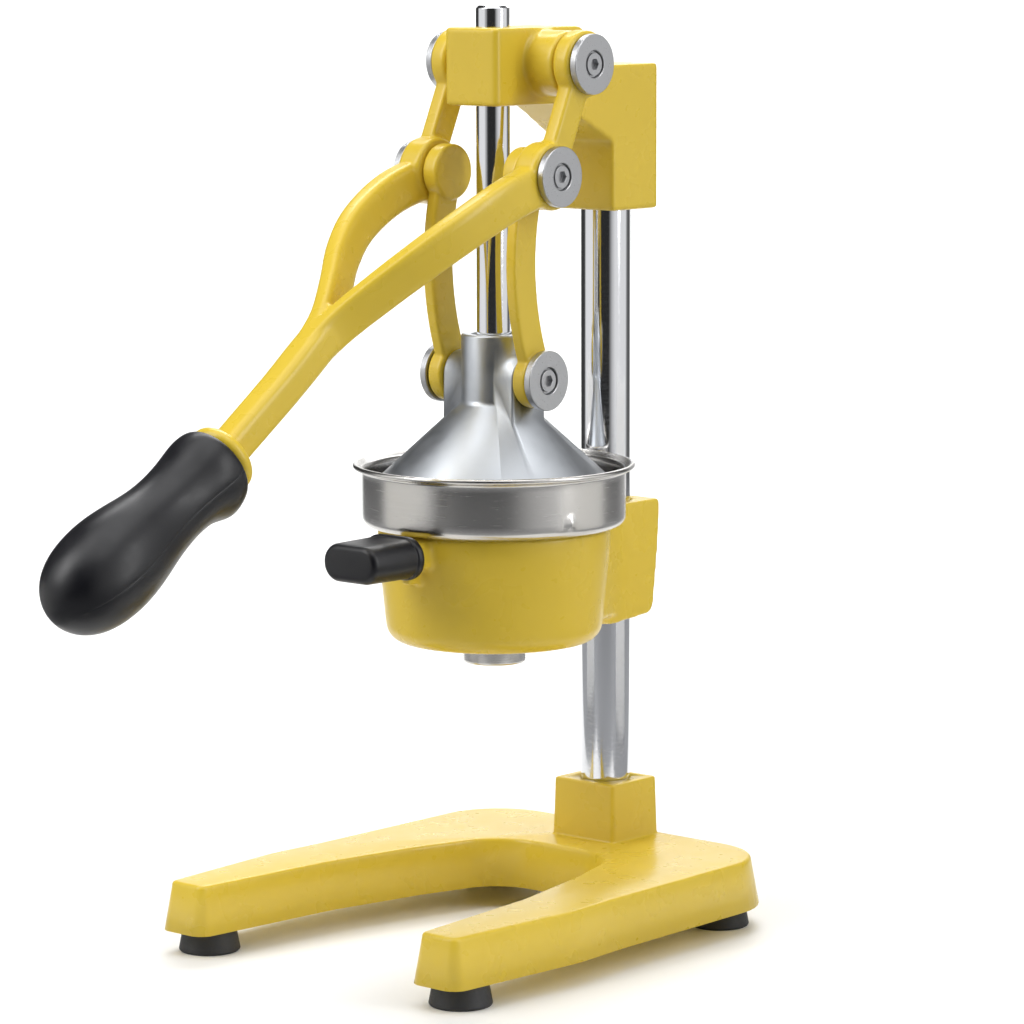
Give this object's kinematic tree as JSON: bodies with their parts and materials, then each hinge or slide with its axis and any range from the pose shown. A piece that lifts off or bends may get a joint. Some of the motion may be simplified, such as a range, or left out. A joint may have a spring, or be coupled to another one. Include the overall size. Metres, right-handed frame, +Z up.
{
  "type": "citrus press juicer",
  "caption": "Free-standing manual citrus press: a forked lever drives a bell-shaped press cone down a guide rod on to a reamer in a strainer pot.",
  "frame": {"origin": "on the floor, under the middle of the whole press with its lever down", "axes": "+Z up, +Y to the rear where the column stands, +X to the right as the press is seen from the front, looking along +Y"},
  "size_m": [0.1792, 0.3562, 0.4],
  "materials": {
    "yellow_enamel": "gloss",
    "chrome": "mirror polished",
    "stainless_steel": "satin",
    "cast_aluminium": "polished casting",
    "zinc_steel": "satin",
    "black_plastic": "semi gloss",
    "foot_rubber": "matt"
  },
  "bodies": {
    "stand": {"base_casting": "yellow_enamel", "foot_front_left": "foot_rubber", "foot_front_right": "foot_rubber", "foot_rear_left": "foot_rubber", "foot_rear_right": "foot_rubber", "foot_screw_front_left": "zinc_steel", "foot_screw_front_right": "zinc_steel", "foot_screw_rear_left": "zinc_steel", "foot_screw_rear_right": "zinc_steel", "column": "chrome", "bowl_casting": "yellow_enamel", "bowl_grip": "black_plastic", "spout_sleeve": "stainless_steel", "strainer_pot": "stainless_steel", "reamer": "stainless_steel", "head_casting": "yellow_enamel", "base_set_screw": "zinc_steel", "bowl_set_screw": "zinc_steel", "head_set_screw": "zinc_steel", "head_pivot_disc_left": "zinc_steel", "head_pivot_sleeve_left": "zinc_steel", "head_pivot_screw_left": "zinc_steel", "head_pivot_disc_right": "zinc_steel", "head_pivot_sleeve_right": "zinc_steel", "head_pivot_screw_right": "zinc_steel"},
    "lever": {"lever_casting": "yellow_enamel", "lever_grip": "black_plastic"},
    "link_left": {"link_left": "yellow_enamel", "elbow_pivot_disc_left": "zinc_steel", "elbow_pivot_sleeve_left": "zinc_steel", "elbow_pivot_screw_left": "zinc_steel", "lower_pivot_disc_left": "zinc_steel", "lower_pivot_sleeve_left": "zinc_steel", "lower_pivot_screw_left": "zinc_steel"},
    "link_right": {"link_right": "yellow_enamel", "elbow_pivot_disc_right": "zinc_steel", "elbow_pivot_sleeve_right": "zinc_steel", "elbow_pivot_screw_right": "zinc_steel", "lower_pivot_disc_right": "zinc_steel", "lower_pivot_sleeve_right": "zinc_steel", "lower_pivot_screw_right": "zinc_steel"},
    "press": {"press_cone": "cast_aluminium", "guide_rod": "chrome", "rod_screw": "zinc_steel"}
  },
  "joints": [
    {"name": "lever_hinge", "type": "hinge", "parent": "stand", "child": "lever", "pos_m": [0, 0.09787, 0.37552], "axis": [-1, 0, 0], "range_deg": [0, 90]},
    {"name": "link_left_hinge", "type": "hinge", "parent": "lever", "child": "link_left", "pos_m": [0, 0.07677, 0.3292], "axis": [1, 0, 0], "range_deg": [0, 107.1]},
    {"name": "link_right_hinge", "type": "hinge", "parent": "lever", "child": "link_right", "pos_m": [0, 0.07677, 0.3292], "axis": [1, 0, 0], "range_deg": [0, 107.1]},
    {"name": "press_slide", "type": "slide", "parent": "stand", "child": "press", "axis": [0, 0, 1], "range_m": [0, 0.07245]}
  ],
  "couplings": [
    {"joint": "link_left_hinge", "follows": "lever_hinge", "ratio": 1.1893},
    {"joint": "link_right_hinge", "follows": "lever_hinge", "ratio": 1.1893},
    {"joint": "press_slide", "follows": "lever_hinge", "m_per_rad": 0.046104}
  ]
}
